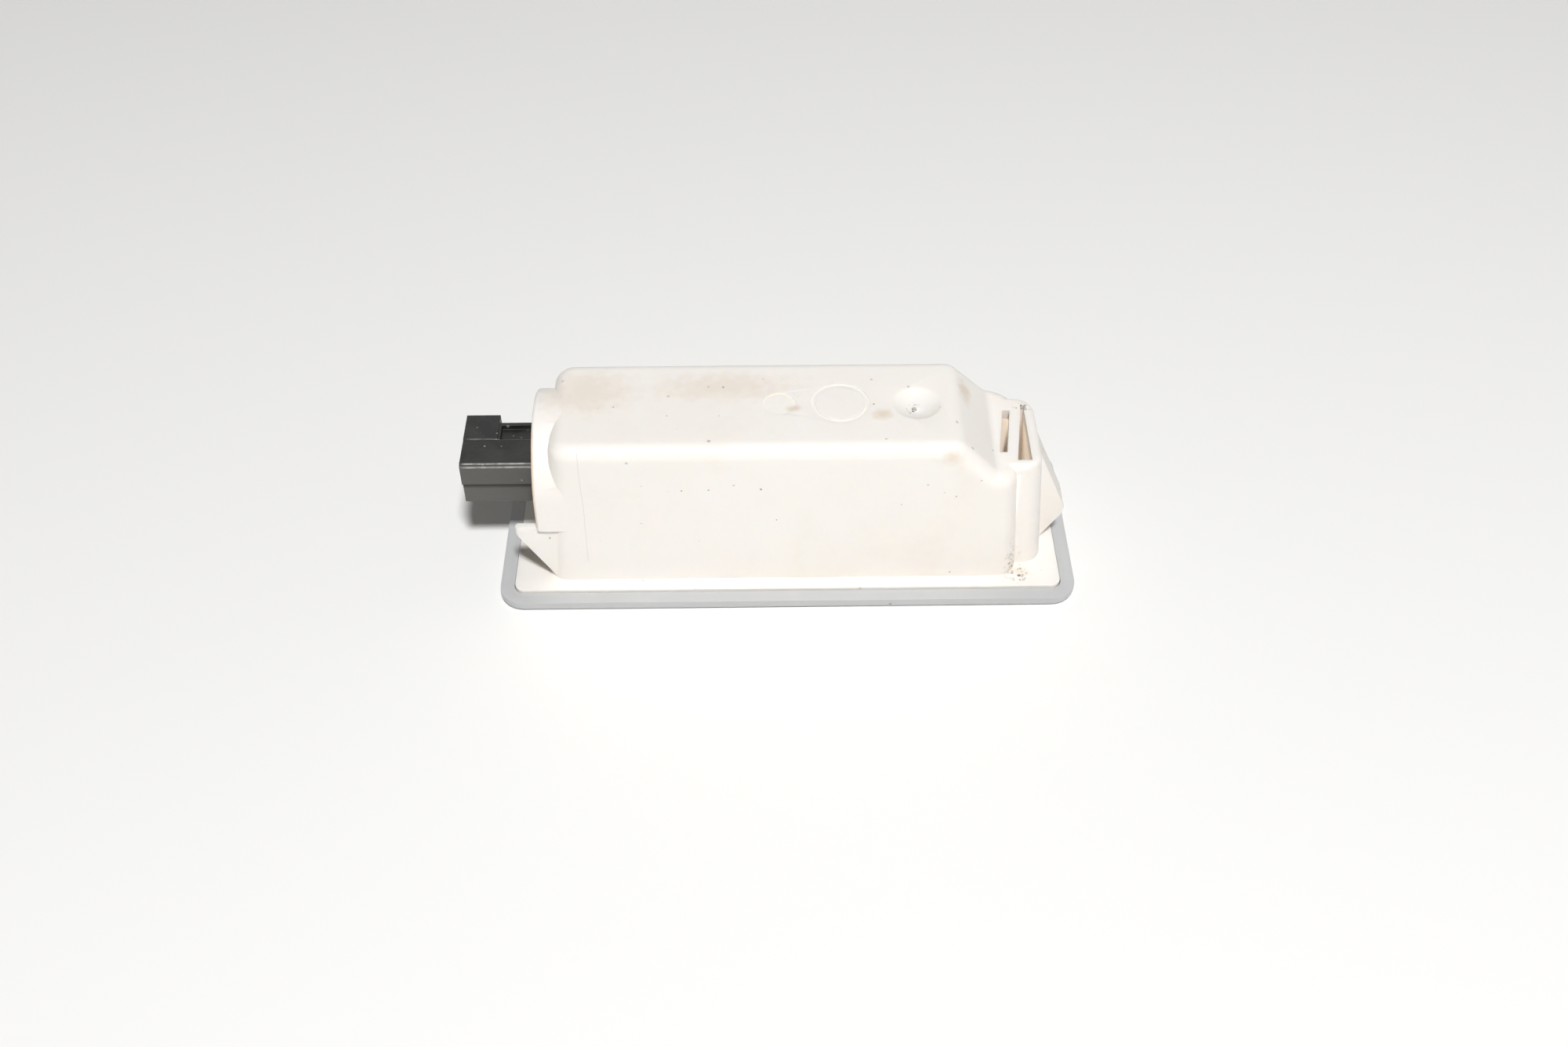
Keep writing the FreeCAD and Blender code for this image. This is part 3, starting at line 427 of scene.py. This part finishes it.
@dataclass(frozen=True)
class SoftBox:
    """A box-shaped zone with soft sides: its centre and half-sizes in millimetres, and how strong it is."""

    SOFT_FROM: ClassVar[float] = 0.85

    centre_mm: Triple
    half_mm: Triple
    strength: float

    def mask(self, board: Board) -> bpy.types.NodeSocket:
        """Place the nodes of the box.

        Args:
            board: The material's board.

        Returns:
            A mask that is strong inside the box.
        """
        offset = board.vector("SUBTRACT", board.place(), tuple(c * MM for c in self.centre_mm))
        scaled = board.vector("DIVIDE", offset.outputs["Vector"], tuple(h * MM for h in self.half_mm))
        parts = board.add("ShaderNodeSeparateXYZ")
        board.feed(parts.inputs[0], board.vector("ABSOLUTE", scaled.outputs["Vector"]).outputs["Vector"])
        return board.remap(strongest(board, list(parts.outputs)), self.SOFT_FROM, 1.0, self.strength, 0.0)


def strongest(board: Board, masks: Sequence[bpy.types.NodeSocket]) -> bpy.types.NodeSocket:
    """Join masks so that the strongest one shows.

    Args:
        board: The material's board.
        masks: The masks, at least one.

    Returns:
        The joined mask.
    """
    joined = masks[0]
    for mask in masks[1:]:
        joined = board.math("MAXIMUM", joined, mask)
    return joined


def start_material(name: str) -> Tuple[bpy.types.Material, Board, bpy.types.Node]:
    """Start a material on a Principled BSDF.

    Args:
        name: The material's name.

    Returns:
        The material, its board and its shader node.
    """
    material = bpy.data.materials.new(name)
    material.use_nodes = True
    board = Board(material.node_tree)
    return material, board, material.node_tree.nodes["Principled BSDF"]


def raise_surface(board: Board, shader: bpy.types.Node, height: bpy.types.NodeSocket, strength: float,
                  depth_mm: float) -> None:
    """Feed a height to the shader's normal through a Bump node.

    Args:
        board: The material's board.
        shader: The Principled BSDF.
        height: The height mask.
        strength: The bump's strength.
        depth_mm: How far a height of 1 stands out.
    """
    bump = board.add("ShaderNodeBump")
    bump.inputs["Strength"].default_value = strength
    bump.inputs["Distance"].default_value = depth_mm * MM
    board.feed(bump.inputs["Height"], height)
    board.feed(shader.inputs["Normal"], bump.outputs["Normal"])


@dataclass(frozen=True)
class HousingFinish:
    """Cream moulded plastic, a little see-through, with handling smudges and grit in its corners.

    The glow in the hollows stands for the light that the thin walls let into the two slots. The mould marks
    are painted lighter as a painted sheen, and the hood's thin left rim is painted amber as a painted glow of
    light coming through its thin wall.
    """

    clean: Colour = (0.925, 0.885, 0.842)
    aged: Colour = (0.905, 0.855, 0.80)
    painted_mark_sheen: Colour = (0.95, 0.91, 0.85)
    smudge: Colour = (0.70, 0.58, 0.44)
    grit: Colour = (0.07, 0.05, 0.032)
    roughness: Tuple[float, float] = (0.36, 0.52)
    dull_from: float = 0.5
    tone_share: float = 0.6
    film_share: float = 0.16
    relief: float = 0.35
    relief_mm: float = 0.03
    scatter_colour: Triple = (1.0, 0.8, 0.55)
    scatter_weight: float = 0.35
    scatter_reach_mm: float = 1.3
    glow: Colour = (0.58, 0.49, 0.40)
    painted_rim_glow: Colour = (0.86, 0.62, 0.42)
    # Painted sheen: the round mould marks on the top are painted a lighter colour.
    sheen_marks: Tuple[RoundMark, ...] = (
        RoundMark((-0.9, 0.0), 1.9, 0.7),
        RoundMark((14.9, 0.0), 2.9, 0.2),
    )
    hollows: Tuple[SoftBox, ...] = (
        SoftBox((24.6, 0.5, 8.4), (2.2, 7.4, 7.0), 1.0),
        SoftBox((28.0, -0.6, 8.4), (1.0, 4.9, 7.0), 0.2),
    )
    # Painted glow: the hood's thin left rim is tinted amber for the light that comes through the thin wall.
    glow_rim: SoftBox = SoftBox((-29.1, 0.0, 15.0), (0.3, 9.5, 5.5), 0.6)
    loose_depth: float = 0.72
    hair: HairLine = HairLine((-23.5, 20.6), (-23.35, 4.6), -7.0, 0.045, 0.26)
    smudges: Tuple[Spot, ...] = (
        Spot((-23.0, 2.3, 20.9), (8.0, 5.5, 2.0), 0.36),
        Spot((-7.0, 3.0, 20.9), (12.0, 3.6, 2.0), 0.36),
        Spot((0.7, -0.8, 20.9), (1.4, 0.9, 1.0), 0.6),
        Spot((10.8, -2.0, 20.9), (1.7, 1.2, 1.0), 0.6),
        Spot((20.8, 3.5, 19.6), (1.4, 3.0, 2.0), 0.6),
        Spot((18.6, -8.2, 19.6), (2.4, 1.4, 1.6), 0.5),
        Spot((27.4, -8.4, 2.4), (2.2, 1.8, 2.4), 0.5),
    )
    grit_beds: Tuple[Spot, ...] = (
        Spot((27.2, -9.0, 3.2), (1.9, 2.2, 6.0), 1.0),
        Spot((27.8, 4.2, 16.4), (1.4, 1.5, 1.2), 1.0),
        Spot((14.4, -0.2, 20.0), (1.2, 1.5, 1.0), 0.9),
    )

    def build(self, effects: SurfaceEffects) -> bpy.types.Material:
        """Make the material.

        Args:
            effects: The shared node groups.

        Returns:
            The material.
        """
        material, board, shader = start_material("housing_plastic")
        grain = board.group(effects.grain, Grain_Scale=5200.0, Swell_Scale=70.0)
        film = board.group(effects.film, Cloud_Scale=95.0, Onset=0.52).outputs["Mask"]
        loose = board.group(effects.specks, Cell_Scale=640.0, Share=0.42, Radius=0.14).outputs["Mask"]
        packed = board.group(effects.specks, Cell_Scale=2600.0, Share=0.85, Radius=0.72).outputs["Mask"]
        mark_sheen_mask = strongest(board, [mark.mask(board) for mark in self.sheen_marks])
        beds = strongest(board, [spot.mask(board) for spot in self.grit_beds])
        smudged = strongest(board, [spot.mask(board) for spot in self.smudges])
        toned = board.math("MULTIPLY", grain.outputs["Tone"], self.tone_share)
        base = board.mix(toned, self.clean, self.aged)
        # painted sheen on the mould marks
        base = board.mix(mark_sheen_mask, base, self.painted_mark_sheen)
        # painted glow along the hood's thin rim
        base = board.mix(self.glow_rim.mask(board), base, self.painted_rim_glow)
        soiled = board.math("MAXIMUM", smudged, board.math("MULTIPLY", film, self.film_share))
        base = board.mix(soiled, base, self.smudge)
        loose = board.math("MULTIPLY", loose, self.loose_depth)
        grit = strongest(board, [loose, board.math("MULTIPLY", packed, beds), self.hair.mask(board)])
        board.feed(shader.inputs["Base Color"], board.mix(grit, base, self.grit))
        board.feed(shader.inputs["Roughness"], board.remap(soiled, 0.0, self.dull_from, *self.roughness))
        lit = strongest(board, [hollow.mask(board) for hollow in self.hollows])
        board.feed(shader.inputs["Emission Color"], board.mix(lit, (0.0, 0.0, 0.0), self.glow))
        shader.inputs["Emission Strength"].default_value = 1.0
        shader.inputs["Subsurface Weight"].default_value = self.scatter_weight
        shader.inputs["Subsurface Radius"].default_value = self.scatter_colour
        shader.inputs["Subsurface Scale"].default_value = self.scatter_reach_mm * MM
        shader.inputs["IOR"].default_value = PLASTIC_IOR
        raise_surface(board, shader, grain.outputs["Height"], self.relief, self.relief_mm)
        return material


@dataclass(frozen=True)
class LensFinish:
    """Frosted grey plastic that lets some light through."""

    clear: Colour = (0.69, 0.70, 0.705)
    wear_and_highlight_tint: Colour = (0.76, 0.765, 0.765)
    grit: Colour = (0.12, 0.10, 0.08)
    roughness: Tuple[float, float] = (0.32, 0.48)
    film_share: float = 0.6
    relief: float = 0.25
    relief_mm: float = 0.02
    transmission: float = 0.25

    def build(self, effects: SurfaceEffects) -> bpy.types.Material:
        """Make the material.

        Args:
            effects: The shared node groups.

        Returns:
            The material.
        """
        material, board, shader = start_material("lens_plastic")
        grain = board.group(effects.grain, Grain_Scale=3600.0, Swell_Scale=110.0)
        film = board.group(effects.film, Cloud_Scale=160.0, Onset=0.48).outputs["Mask"]
        specks = board.group(effects.specks, Cell_Scale=420.0, Share=0.6, Radius=0.12).outputs["Mask"]
        base = board.mix(board.math("MULTIPLY", film, self.film_share), self.clear, self.wear_and_highlight_tint)
        board.feed(shader.inputs["Base Color"], board.mix(specks, base, self.grit))
        board.feed(shader.inputs["Roughness"], board.remap(film, 0.0, 1.0, *self.roughness))
        shader.inputs["Transmission Weight"].default_value = self.transmission
        shader.inputs["IOR"].default_value = PLASTIC_IOR
        raise_surface(board, shader, grain.outputs["Height"], self.relief, self.relief_mm)
        return material


@dataclass(frozen=True)
class HolderFinish:
    """Satin black plastic with a thin veil of dust and a coarse latch floor with painted glints; its front
    faces are painted lighter as a painted sheen, and painted highlight lines run along the chamfer and step
    edges.
    """

    black: Colour = (0.012, 0.012, 0.0115)
    dusty: Colour = (0.042, 0.041, 0.038)
    # Painted sheen: the lighter grey for the connector's front faces, which catch the light from the camera's
    # side.
    painted_front_sheen: Colour = (0.132, 0.129, 0.121)
    fleck_and_glint: Colour = (0.34, 0.32, 0.28)
    roughness: Tuple[float, float] = (0.34, 0.56)
    film_share: float = 0.7
    relief: float = 0.5
    relief_mm: float = 0.05
    highlight_break_scale: float = 1300.0
    highlight_break_detail: float = 3.0
    highlight_break_range: Tuple[float, float] = (0.35, 0.65)
    faintest_highlight: float = 0.45
    specular: float = 0.3
    latch_floor: Spot = Spot((-31.0, 2.0, 14.5), (2.6, 1.4, 0.35), 1.0)
    # Painted sheen on the front faces of the upper and lower tiers.
    front_sheen_boxes: Tuple[SoftBox, ...] = (
        SoftBox((-33.5, -3.9, 13.5), (9.0, 0.4, 1.5), 0.8),
        SoftBox((-33.5, -3.4, 10.0), (9.0, 0.4, 1.6), 0.9),
    )
    # Painted highlight: in this finish the light grey of the thin lines along the chamfer and step edges.
    wear_and_highlight_tint: Colour = (0.36, 0.352, 0.33)
    highlight_edges: Tuple[SoftBox, ...] = (
        SoftBox((-33.3, -3.38, 15.1), (4.6, 0.1, 0.1), 1.0),
        SoftBox((-33.3, -3.73, 14.75), (4.6, 0.1, 0.1), 1.0),
        SoftBox((-33.3, 0.75, 15.15), (4.6, 0.07, 0.14), 0.45),
    )

    def build(self, effects: SurfaceEffects) -> bpy.types.Material:
        """Make the material.

        Args:
            effects: The shared node groups.

        Returns:
            The material.
        """
        material, board, shader = start_material("holder_plastic")
        grain = board.group(effects.grain, Grain_Scale=4200.0, Swell_Scale=160.0)
        coarse = board.group(effects.specks, Cell_Scale=4200.0, Share=1.0, Radius=0.9).outputs["Mask"]
        film = board.group(effects.film, Cloud_Scale=260.0, Onset=0.42).outputs["Mask"]
        flecks = board.group(effects.specks, Cell_Scale=900.0, Share=0.5, Radius=0.2).outputs["Mask"]
        base = board.mix(board.math("MULTIPLY", film, self.film_share), self.black, self.dusty)
        # painted sheen on the connector's front faces
        base = board.mix(strongest(board, [sheen_box.mask(board) for sheen_box in self.front_sheen_boxes]), base, self.painted_front_sheen)
        # painted highlight lines on the edges, broken up by noise patches
        painted_edge_highlight = strongest(board, [edge.mask(board) for edge in self.highlight_edges])
        patches = board.noise(board.place(), self.highlight_break_scale, self.highlight_break_detail)
        painted_edge_highlight = board.math("MULTIPLY", painted_edge_highlight, board.remap(patches, *self.highlight_break_range, self.faintest_highlight, 1.0))
        base = board.mix(painted_edge_highlight, base, self.wear_and_highlight_tint)
        bed = self.latch_floor.mask(board)
        # Painted glints on the coarse latch floor, mixed into the dust flecks.
        glints = board.group(effects.specks, Cell_Scale=3200.0, Share=0.2, Radius=0.7).outputs["Mask"]
        flecks = board.math("MAXIMUM", flecks, board.math("MULTIPLY", glints, bed))
        board.feed(shader.inputs["Base Color"], board.mix(flecks, base, self.fleck_and_glint))
        board.feed(shader.inputs["Roughness"], board.remap(film, 0.0, 1.0, *self.roughness))
        shader.inputs["Specular IOR Level"].default_value = self.specular
        rough_floor = board.math("MULTIPLY", coarse, bed)
        height = board.math("ADD", grain.outputs["Height"], rough_floor)
        raise_surface(board, shader, height, self.relief, self.relief_mm)
        return material


@dataclass(frozen=True)
class MetalFinish:
    """Drawn or stamped metal with a slightly tarnished tone."""

    name: str
    bright: Colour
    tarnished: Colour
    roughness: Tuple[float, float]
    grain_scale: float
    relief: float = 0.2
    relief_mm: float = 0.01

    def build(self, effects: SurfaceEffects) -> bpy.types.Material:
        """Make the material.

        Args:
            effects: The shared node groups.

        Returns:
            The material.
        """
        material, board, shader = start_material(self.name)
        grain = board.group(effects.grain, Grain_Scale=self.grain_scale, Swell_Scale=400.0)
        film = board.group(effects.film, Cloud_Scale=600.0, Onset=0.5).outputs["Mask"]
        board.feed(shader.inputs["Base Color"], board.mix(film, self.bright, self.tarnished))
        board.feed(shader.inputs["Roughness"], board.remap(film, 0.0, 1.0, *self.roughness))
        shader.inputs["Metallic"].default_value = 1.0
        raise_surface(board, shader, grain.outputs["Height"], self.relief, self.relief_mm)
        return material


@dataclass(frozen=True)
class GlassFinish:
    """Clear blown glass with a faint film."""

    tint: Colour = (0.96, 0.975, 0.97)
    filmed: Colour = (0.85, 0.86, 0.84)
    roughness: Tuple[float, float] = (0.02, 0.12)
    ior: float = 1.5

    def build(self, effects: SurfaceEffects) -> bpy.types.Material:
        """Make the material.

        Args:
            effects: The shared node groups.

        Returns:
            The material.
        """
        material, board, shader = start_material("bulb_clear_glass")
        film = board.group(effects.film, Cloud_Scale=220.0, Onset=0.55).outputs["Mask"]
        board.feed(shader.inputs["Base Color"], board.mix(film, self.tint, self.filmed))
        board.feed(shader.inputs["Roughness"], board.remap(film, 0.0, 1.0, *self.roughness))
        shader.inputs["Transmission Weight"].default_value = 1.0
        shader.inputs["IOR"].default_value = self.ior
        return material


@dataclass(frozen=True)
class EdgeSoftening:
    """How a finished copy's sharp edges are softened."""

    width_mm: float
    segments: int = 2
    sharp_angle: float = 38.0
    smooth_angle: float = 32.0


def finished_copy(node: str, name: str, softening: EdgeSoftening) -> bpy.types.Object:
    """Copy a CAD node, join its loose triangles and soften its sharp edges.

    Args:
        node: The CAD node that the copy stands for.
        name: The new piece's name.
        softening: How the edges are softened.

    Returns:
        The new piece, in place of the node.
    """
    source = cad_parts[node]
    mesh = bpy.data.meshes.new(name)
    shape = bmesh.new()
    shape.from_mesh(source.data)
    bmesh.ops.remove_doubles(shape, verts=shape.verts, dist=MERGE_MM * MM)
    flat = math.radians(FLAT_ANGLE)
    bmesh.ops.dissolve_limit(shape, angle_limit=flat, verts=shape.verts, edges=shape.edges)
    limit = math.radians(softening.sharp_angle)
    sharp = [edge for edge in shape.edges if edge.is_manifold and edge.calc_face_angle(0.0) > limit]
    if softening.width_mm > 0 and sharp:
        bmesh.ops.bevel(shape, geom=sharp, offset=softening.width_mm * MM, offset_type="OFFSET",
                        segments=softening.segments, profile=0.5, affect="EDGES", clamp_overlap=True,
                        material=-1)
    bmesh.ops.triangulate(shape, faces=[face for face in shape.faces if len(face.verts) > 4])
    for face in shape.faces:
        face.smooth = True
    shape.to_mesh(mesh)
    shape.free()
    mesh.set_sharp_from_angle(angle=math.radians(softening.smooth_angle))
    piece = bpy.data.objects.new(name, mesh)
    bpy.context.scene.collection.objects.link(piece)
    evened = piece.modifiers.new("evened_normals", "WEIGHTED_NORMAL")
    evened.keep_sharp = True
    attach(piece, BODY)
    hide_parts(node)
    return piece


def dress(piece: bpy.types.Object, material: bpy.types.Material) -> None:
    """Give a piece its material.

    Args:
        piece: The piece.
        material: Its material.
    """
    piece.data.materials.clear()
    piece.data.materials.append(material)
    LOG.info("%s: %d faces, %s", piece.name, len(piece.data.polygons), material.name)


@dataclass
class HousingShell:
    """The white housing with its hood, hooks, spring loop and barb."""

    softening: EdgeSoftening = EdgeSoftening(0.14)
    finish: HousingFinish = HousingFinish()

    def build(self, effects: SurfaceEffects) -> None:
        """Build and dress the housing.

        Args:
            effects: The shared node groups.
        """
        shell = finished_copy("housing", "housing_shell", self.softening)
        dress(shell, self.finish.build(effects))


@dataclass
class LensTray:
    """The tray lens under the housing."""

    softening: EdgeSoftening = EdgeSoftening(0.12)
    finish: LensFinish = LensFinish()

    def build(self, effects: SurfaceEffects) -> None:
        """Build and dress the lens.

        Args:
            effects: The shared node groups.
        """
        tray = finished_copy("lens", "lens_tray", self.softening)
        dress(tray, self.finish.build(effects))


@dataclass
class BulbHolder:
    """The black bulb holder with its connector block and its two contact strips."""

    softening: EdgeSoftening = EdgeSoftening(0.09)
    strip_softening: EdgeSoftening = EdgeSoftening(0.05, segments=1)
    finish: HolderFinish = HolderFinish()
    strip_finish: MetalFinish = MetalFinish(
        name="contact_metal", bright=(0.74, 0.66, 0.46), tarnished=(0.46, 0.38, 0.24),
        roughness=(0.24, 0.42), grain_scale=2600.0)
    strips: Tuple[str, ...] = ("contact_front", "contact_rear")

    def build(self, effects: SurfaceEffects) -> None:
        """Build and dress the holder and its contacts.

        Args:
            effects: The shared node groups.
        """
        moulding = finished_copy("bulb_holder", "holder_moulding", self.softening)
        dress(moulding, self.finish.build(effects))
        metal = self.strip_finish.build(effects)
        for strip in self.strips:
            dress(finished_copy(strip, f"{strip}_strip", self.strip_softening), metal)


@dataclass
class WedgeBulb:
    """The wedge bulb: glass, filament and lead wires."""

    round_only: EdgeSoftening = EdgeSoftening(0.0)
    glass: GlassFinish = GlassFinish()
    wire: MetalFinish = MetalFinish(
        name="drawn_wire", bright=(0.62, 0.61, 0.60), tarnished=(0.36, 0.34, 0.32),
        roughness=(0.26, 0.45), grain_scale=5200.0)
    wires: Tuple[str, ...] = ("bulb_filament", "bulb_lead_front", "bulb_lead_rear")

    def build(self, effects: SurfaceEffects) -> None:
        """Build and dress the bulb.

        Args:
            effects: The shared node groups.
        """
        envelope = finished_copy("bulb_glass", "bulb_envelope", self.round_only)
        dress(envelope, self.glass.build(effects))
        metal = self.wire.build(effects)
        for wire in self.wires:
            dress(finished_copy(wire, f"{wire}_wire", self.round_only), metal)


@dataclass
class PhotoCamera:
    """The camera, fitted to the edges that the photograph shows."""

    focal_px: float = 2185.56
    frame_px: Tuple[int, int] = (2000, 1335)
    pitch: float = 44.80
    yaw: float = 0.955
    roll: float = -0.110
    aside_mm: float = 0.326
    lift_mm: float = -1.083
    distance_mm: float = 211.08
    sensor_mm: float = 36.0
    clip_near: float = 0.01

    def build(self) -> None:
        """Make the camera and use it."""
        pitch = math.radians(self.pitch)
        roll = math.radians(self.roll)
        turn = Matrix.Rotation(-math.radians(self.yaw), 3, "Z")
        ahead = turn @ Vector((0.0, math.cos(pitch), -math.sin(pitch)))
        right = turn @ Vector((1.0, 0.0, 0.0))
        up = right.cross(ahead)
        place = -(right * self.aside_mm + up * self.lift_mm + ahead * self.distance_mm) * MM
        rolled_right = right * math.cos(roll) - up * math.sin(roll)
        rolled_up = right * math.sin(roll) + up * math.cos(roll)
        data = bpy.data.cameras.new("photo_camera")
        data.sensor_width = self.sensor_mm
        data.lens = self.focal_px / self.frame_px[0] * self.sensor_mm
        data.clip_start = self.clip_near
        camera = bpy.data.objects.new("photo_camera", data)
        turned = Matrix((rolled_right, rolled_up, -ahead)).transposed().to_4x4()
        camera.matrix_world = Matrix.Translation(place) @ turned
        bpy.context.scene.collection.objects.link(camera)
        bpy.context.scene.camera = camera


@dataclass
class Studio:
    """The pale table and the soft light from the camera's side."""

    floor_half: float = 1.5
    fade_start: float = 0.22
    fade_end: float = 0.45
    floor_colour: Colour = (0.94, 0.937, 0.923)
    key_elevation: float = 62.5
    key_aside: float = 10.0
    key_distance: float = 0.75
    key_size: float = 0.10
    key_power: float = 5.25
    fill_level: float = 0.105
    sky: Colour = (1.0, 1.0, 1.0)
    warm_fill: Colour = (1.0, 0.97, 0.92)
    floor_roughness: float = 0.6
    cloud_scale: float = 6.0
    cloud_detail: float = 3.0
    cloud_lift: float = 1.02

    def build(self) -> None:
        """Make the floor, the lamp and the world."""
        self._floor()
        self._key()
        self._world()
        bpy.context.scene.view_settings.view_transform = "Standard"

    def _floor(self) -> None:
        """Make the table top."""
        mesh = bpy.data.meshes.new("table_top")
        shape = bmesh.new()
        bmesh.ops.create_grid(shape, x_segments=1, y_segments=1, size=self.floor_half)
        shape.to_mesh(mesh)
        shape.free()
        floor = bpy.data.objects.new("table_top", mesh)
        bpy.context.scene.collection.objects.link(floor)
        material, board, shader = start_material("table_top")
        cloud = board.noise(board.place(), self.cloud_scale, self.cloud_detail)
        shader.inputs["Roughness"].default_value = self.floor_roughness
        paler = tuple(min(1.0, channel * self.cloud_lift) for channel in self.floor_colour)
        board.feed(shader.inputs["Base Color"], board.mix(cloud, self.floor_colour, paler))
        white = board.add("ShaderNodeEmission")
        reach = board.vector("LENGTH", board.place()).outputs["Value"]
        far = board.remap(reach, self.fade_start, self.fade_end, 0.0, 1.0)
        faded = board.add("ShaderNodeMixShader")
        board.feed(faded.inputs[0], board.math("MULTIPLY", far, self._seen(board)))
        board.feed(faded.inputs[1], shader.outputs[0])
        board.feed(faded.inputs[2], white.outputs[0])
        board.feed(material.node_tree.nodes["Material Output"].inputs["Surface"], faded.outputs[0])
        mesh.materials.append(material)

    def _seen(self, board: Board) -> bpy.types.NodeSocket:
        """Tell the rays that look at the surround from those that light with it.

        Args:
            board: The board of the floor's material or of the world.

        Returns:
            A mask that is 1 for camera, glossy and transmission rays.
        """
        path = board.add("ShaderNodeLightPath").outputs
        return strongest(board, [path["Is Camera Ray"], path["Is Glossy Ray"], path["Is Transmission Ray"]])

    def _key(self) -> None:
        """Make the main lamp."""
        rise = math.radians(self.key_elevation)
        data = bpy.data.lights.new("key", "AREA")
        data.shape = "DISK"
        data.size = self.key_size
        data.energy = self.key_power
        lamp = bpy.data.objects.new("key", data)
        aside = math.radians(self.key_aside)
        away = Vector((math.cos(rise) * math.sin(aside), -math.cos(rise) * math.cos(aside), math.sin(rise)))
        lamp.location = away * self.key_distance
        lamp.rotation_euler = (-away).to_track_quat("-Z", "Y").to_euler()
        bpy.context.scene.collection.objects.link(lamp)

    def _world(self) -> None:
        """Make the soft surround: white where it is seen, dimmer where it lights."""
        world = bpy.data.worlds.new("surround")
        bpy.context.scene.world = world
        world.use_nodes = True
        board = Board(world.node_tree)
        world.node_tree.nodes.clear()
        fill = board.add("ShaderNodeBackground")
        seen = board.add("ShaderNodeBackground")
        for node, colour, level in ((fill, self.warm_fill, self.fill_level), (seen, self.sky, 1.0)):
            node.inputs["Color"].default_value = opaque(colour)
            node.inputs["Strength"].default_value = level
        mixed = board.add("ShaderNodeMixShader")
        board.feed(mixed.inputs[0], self._seen(board))
        board.feed(mixed.inputs[1], fill.outputs[0])
        board.feed(mixed.inputs[2], seen.outputs[0])
        board.feed(board.add("ShaderNodeOutputWorld").inputs["Surface"], mixed.outputs[0])


def main() -> None:
    """Build the lamp's pieces in order, then the studio and the camera."""
    logging.basicConfig(level=logging.INFO, format="%(name)s: %(message)s")
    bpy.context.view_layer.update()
    effects = SurfaceEffects()
    for assembly in (HousingShell(), LensTray(), BulbHolder(), WedgeBulb()):
        assembly.build(effects)
    Studio().build()
    PhotoCamera().build()


if __name__ == "__main__":
    main()
